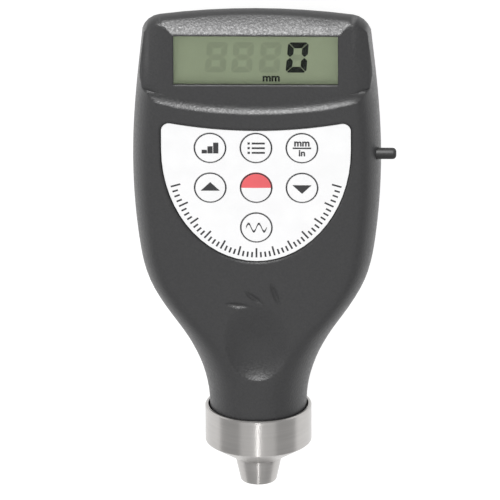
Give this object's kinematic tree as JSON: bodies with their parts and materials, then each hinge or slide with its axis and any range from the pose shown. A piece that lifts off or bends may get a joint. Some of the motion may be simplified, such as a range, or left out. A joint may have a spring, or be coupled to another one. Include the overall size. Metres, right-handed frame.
{
  "type": "ultrasonic thickness gauge",
  "caption": "Pear-shaped hand-held gauge with a display, a keypad and a steel-collared probe at the narrow end that reads wall thickness by ultrasound.",
  "frame": {"origin": "centre of the probe's contact face, on the probe axis", "axes": "+Y from the contact face along the probe axis to the display end, +Z out of the front face, +X to the right as the display is read; the gauge lies on its back"},
  "size_m": [0.0691, 0.1334, 0.028],
  "materials": {
    "case": "fine sparked texture",
    "lens": "clear polished",
    "lcd": "grey-green display glass",
    "strip_rubber": "matt",
    "board": "solder mask",
    "chip": "moulded",
    "can": "satin",
    "overlay": "satin film",
    "switch": "moulded",
    "key": "satin film",
    "power_key": "satin film",
    "plug_rubber": "matt",
    "steel": "turned",
    "delay": "lapped",
    "cork": "cork",
    "ceramic": "silvered",
    "backing": "cast",
    "lead": "sheathed",
    "cell": "printed sleeve",
    "contact": "plated",
    "screw": "zinc"
  },
  "bodies": {
    "case": {"front_housing": "case", "rear_housing": "case", "display_window": "lens", "lcd_panel": "lcd", "lcd_contact_strips": "strip_rubber", "main_board": "board", "processor_chip": "chip", "amplifier_chip": "chip", "quartz_can": "can", "keypad_overlay": "overlay", "tact_switches": "switch", "output_jack": "switch", "collar": "steel", "probe_sleeve": "steel", "delay_block_transmit": "delay", "delay_block_receive": "delay", "acoustic_barrier": "cork", "crystal_transmit": "ceramic", "crystal_receive": "ceramic", "backing_block": "backing", "probe_leads": "lead", "battery_cell_1": "cell", "battery_cell_2": "cell", "battery_cell_3": "cell", "battery_cell_4": "cell", "contact_springs": "contact", "contact_plates": "contact", "case_screws": "screw", "board_screws": "screw"},
    "battery_door": {"battery_door": "case"},
    "jack_plug": {"jack_plug": "plug_rubber"},
    "key_calibrate": {"key_calibrate": "key"},
    "key_select": {"key_select": "key"},
    "key_unit": {"key_unit": "key"},
    "key_up": {"key_up": "key"},
    "key_power": {"key_power": "power_key"},
    "key_down": {"key_down": "key"},
    "key_velocity": {"key_velocity": "key"}
  },
  "joints": [
    {"name": "press_calibrate", "type": "slide", "parent": "case", "child": "key_calibrate", "axis": [0, 0, -1], "range_m": [0, 0.0003], "stiffness_N_per_m": 300, "springref_m": -0.0005},
    {"name": "press_select", "type": "slide", "parent": "case", "child": "key_select", "axis": [0, 0, -1], "range_m": [0, 0.0003], "stiffness_N_per_m": 300, "springref_m": -0.0005},
    {"name": "press_unit", "type": "slide", "parent": "case", "child": "key_unit", "axis": [0, 0, -1], "range_m": [0, 0.0003], "stiffness_N_per_m": 300, "springref_m": -0.0005},
    {"name": "press_up", "type": "slide", "parent": "case", "child": "key_up", "axis": [0, 0, -1], "range_m": [0, 0.0003], "stiffness_N_per_m": 300, "springref_m": -0.0005},
    {"name": "press_power", "type": "slide", "parent": "case", "child": "key_power", "axis": [0, 0, -1], "range_m": [0, 0.0003], "stiffness_N_per_m": 300, "springref_m": -0.0005},
    {"name": "press_down", "type": "slide", "parent": "case", "child": "key_down", "axis": [0, 0, -1], "range_m": [0, 0.0003], "stiffness_N_per_m": 300, "springref_m": -0.0005},
    {"name": "press_velocity", "type": "slide", "parent": "case", "child": "key_velocity", "axis": [0, 0, -1], "range_m": [0, 0.0003], "stiffness_N_per_m": 300, "springref_m": -0.0005},
    {"name": "door_slide", "type": "slide", "parent": "case", "child": "battery_door", "axis": [0, 1, 0], "range_m": [0, 0.062]},
    {"name": "plug_pull", "type": "slide", "parent": "case", "child": "jack_plug", "axis": [1, 0, 0], "range_m": [0, 0.012]}
  ]
}
